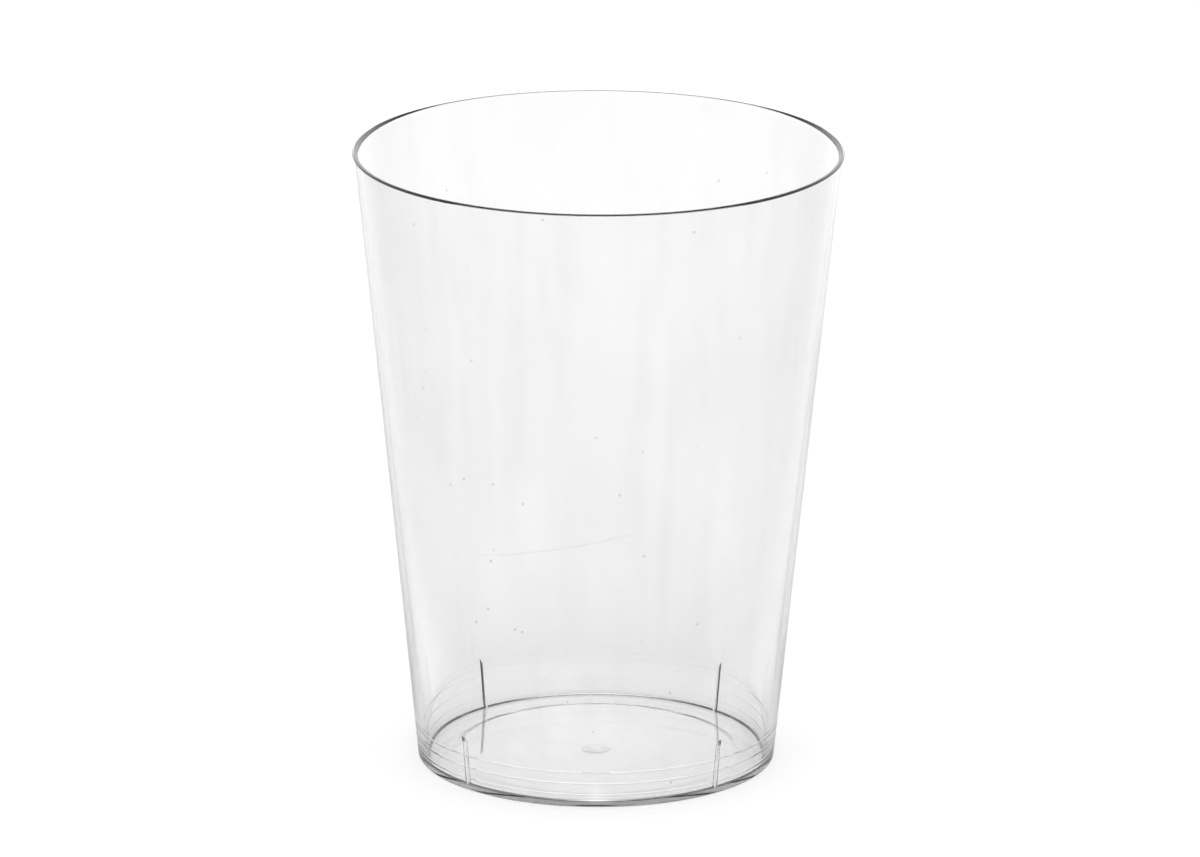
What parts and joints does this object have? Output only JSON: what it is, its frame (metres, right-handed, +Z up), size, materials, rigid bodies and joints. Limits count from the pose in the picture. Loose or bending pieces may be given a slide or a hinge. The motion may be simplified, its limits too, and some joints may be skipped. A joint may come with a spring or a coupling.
{
  "type": "plastic tumbler cup",
  "caption": "Clear hard-plastic tumbler with a tapered wall, a small round lip, a flat floor and short stacking ribs inside.",
  "frame": {"origin": "centre of the foot, on the surface that the cup stands on", "axes": "+Z up along the cup's axis, towards the mouth; +X and +Y level, with the ribs near the diagonals"},
  "size_m": [0.078, 0.078, 0.1],
  "materials": {
    "clear_plastic": "clear gloss"
  },
  "bodies": {
    "root": {"tumbler": "clear_plastic"}
  },
  "joints": []
}
